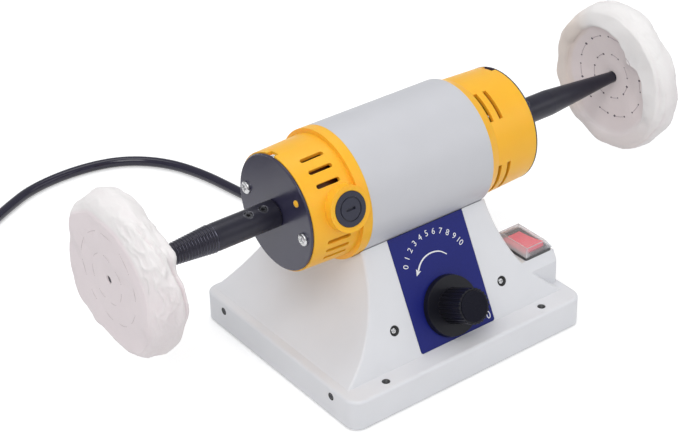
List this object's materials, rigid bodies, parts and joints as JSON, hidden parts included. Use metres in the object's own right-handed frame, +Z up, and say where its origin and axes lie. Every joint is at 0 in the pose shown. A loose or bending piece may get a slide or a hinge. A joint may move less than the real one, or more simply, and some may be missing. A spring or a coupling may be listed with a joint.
{
  "type": "dental polishing lathe",
  "caption": "Bench polishing lathe with a long tapered spindle and a buffing wheel at each end, on a moulded base with a speed knob and a covered rocker switch.",
  "frame": {"origin": "on the table, under the middle of the motor", "axes": "+X along the spindles towards the fan end, -Y towards the control panel, +Z up"},
  "size_m": [0.4474, 0.4075, 0.1573],
  "materials": {
    "shell_white": "fine satin moulding",
    "sheet_steel": "zinc plated sheet",
    "panel_blue": "satin enamel",
    "knob_charcoal": "matt",
    "switch_grey": "matt",
    "rocker_red": "translucent gloss",
    "cover_clear": "clear moulded plastic",
    "tube_grey": "satin enamel",
    "housing_yellow": "satin enamel",
    "plate_black": "high gloss",
    "spindle_black": "satin black finish",
    "cotton": "stitched cotton discs",
    "bright_steel": "bright plated",
    "dark_steel": "blackened",
    "core_iron": "stacked sheets",
    "copper": "enamelled wire",
    "brass": "turned",
    "carbon": "matt graphite",
    "phenolic": "moulded",
    "board_green": "lacquered laminate",
    "component_black": "moulded",
    "rubber_black": "matt",
    "cord_black": "satin jacket"
  },
  "bodies": {
    "base": {"base_shell": "shell_white", "bottom_plate": "sheet_steel", "bottom_plate_screws": "dark_steel", "rubber_feet": "rubber_black", "control_panel": "panel_blue", "pedestal_screws": "dark_steel", "pot_bracket": "sheet_steel", "speed_control_board": "board_green", "board_spacers": "brass", "board_screws": "bright_steel", "board_components": "component_black", "speed_pot": "sheet_steel", "pot_nut": "bright_steel", "switch_body": "switch_grey", "switch_terminals": "brass", "switch_cover": "cover_clear", "motor_tube": "tube_grey", "motor_mount_screws": "bright_steel", "motor_mount_nuts": "bright_steel", "left_end_housing": "housing_yellow", "right_end_housing": "housing_yellow", "left_end_plate": "plate_black", "right_end_plate": "plate_black", "end_plate_screws": "bright_steel", "stator_core": "core_iron", "field_coils": "copper", "motor_tie_bolts": "bright_steel", "motor_tie_nuts": "bright_steel", "brush_holders": "phenolic", "carbon_brushes": "carbon", "brush_springs": "bright_steel", "brush_caps": "switch_grey", "bearing_outer_rings": "bright_steel", "strain_relief": "rubber_black", "cord_run": "cord_black", "cord_coil": "cord_black", "power_plug": "rubber_black", "plug_pins": "bright_steel"},
    "rotor": {"bearing_inner_rings": "bright_steel", "bearing_balls": "bright_steel", "armature_shaft": "bright_steel", "armature_core": "core_iron", "armature_windings": "copper", "commutator": "copper", "cooling_fan": "component_black", "left_spindle": "spindle_black", "right_spindle": "spindle_black", "spindle_set_screws": "dark_steel", "left_buffing_wheel": "cotton", "right_buffing_wheel": "cotton"},
    "knob": {"speed_knob": "knob_charcoal", "knob_cap": "knob_charcoal", "pot_shaft": "bright_steel"},
    "rocker": {"switch_rocker": "rocker_red"}
  },
  "joints": [
    {"name": "spindle_turn", "type": "hinge", "parent": "base", "child": "rotor", "pos_m": [0, 0, 0.1098], "axis": [1, 0, 0], "continuous": true},
    {"name": "speed_turn", "type": "hinge", "parent": "base", "child": "knob", "pos_m": [0, -0.05415, 0.03875], "axis": [0, -0.891, 0.454], "range_deg": [-270, 0]},
    {"name": "switch_tilt", "type": "hinge", "parent": "base", "child": "rocker", "pos_m": [0.07325, -0.037, 0.044], "axis": [1, 0, 0], "range_deg": [0, 18]}
  ]
}
